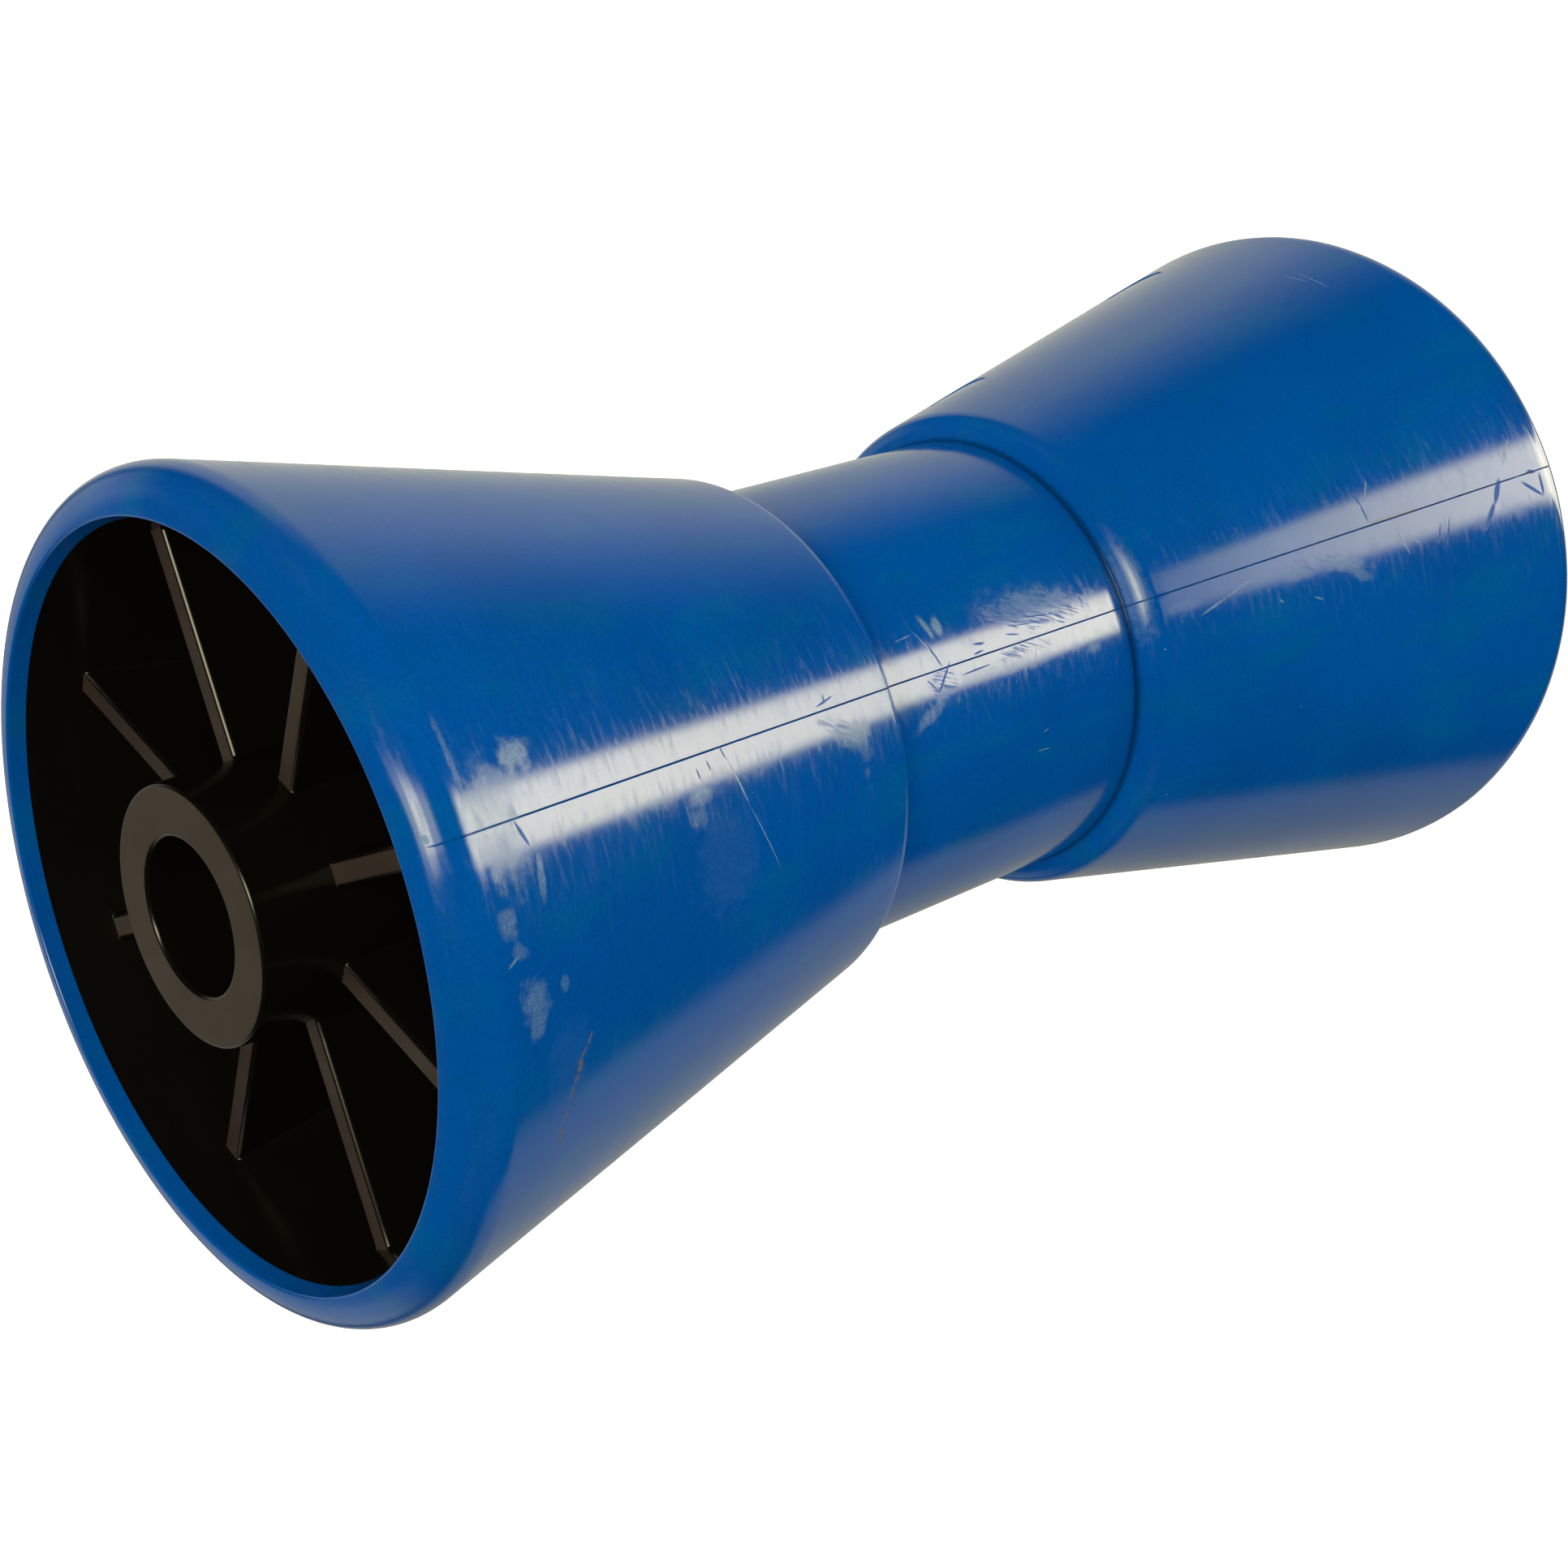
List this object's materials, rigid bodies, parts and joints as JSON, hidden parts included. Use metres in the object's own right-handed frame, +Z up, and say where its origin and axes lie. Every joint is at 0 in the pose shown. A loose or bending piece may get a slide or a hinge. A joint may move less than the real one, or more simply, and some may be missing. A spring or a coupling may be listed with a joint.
{
  "type": "boat trailer roller",
  "caption": "Hourglass keel roller for a boat trailer: a soft moulded cover over a ribbed plastic core with a plain hub bore.",
  "frame": {"origin": "centre of the lower hub face, at the bottom of the roller standing on its end", "axes": "+Z up along the axle bore; +X and +Y each lie along a rib of the core"},
  "size_m": [0.098, 0.098, 0.2026],
  "materials": {
    "core": "gloss black moulded, satin on the hub and rib faces",
    "cover": "soft gloss blue, lightly scuffed"
  },
  "bodies": {
    "root": {"core": "core", "cover": "cover"}
  },
  "joints": []
}
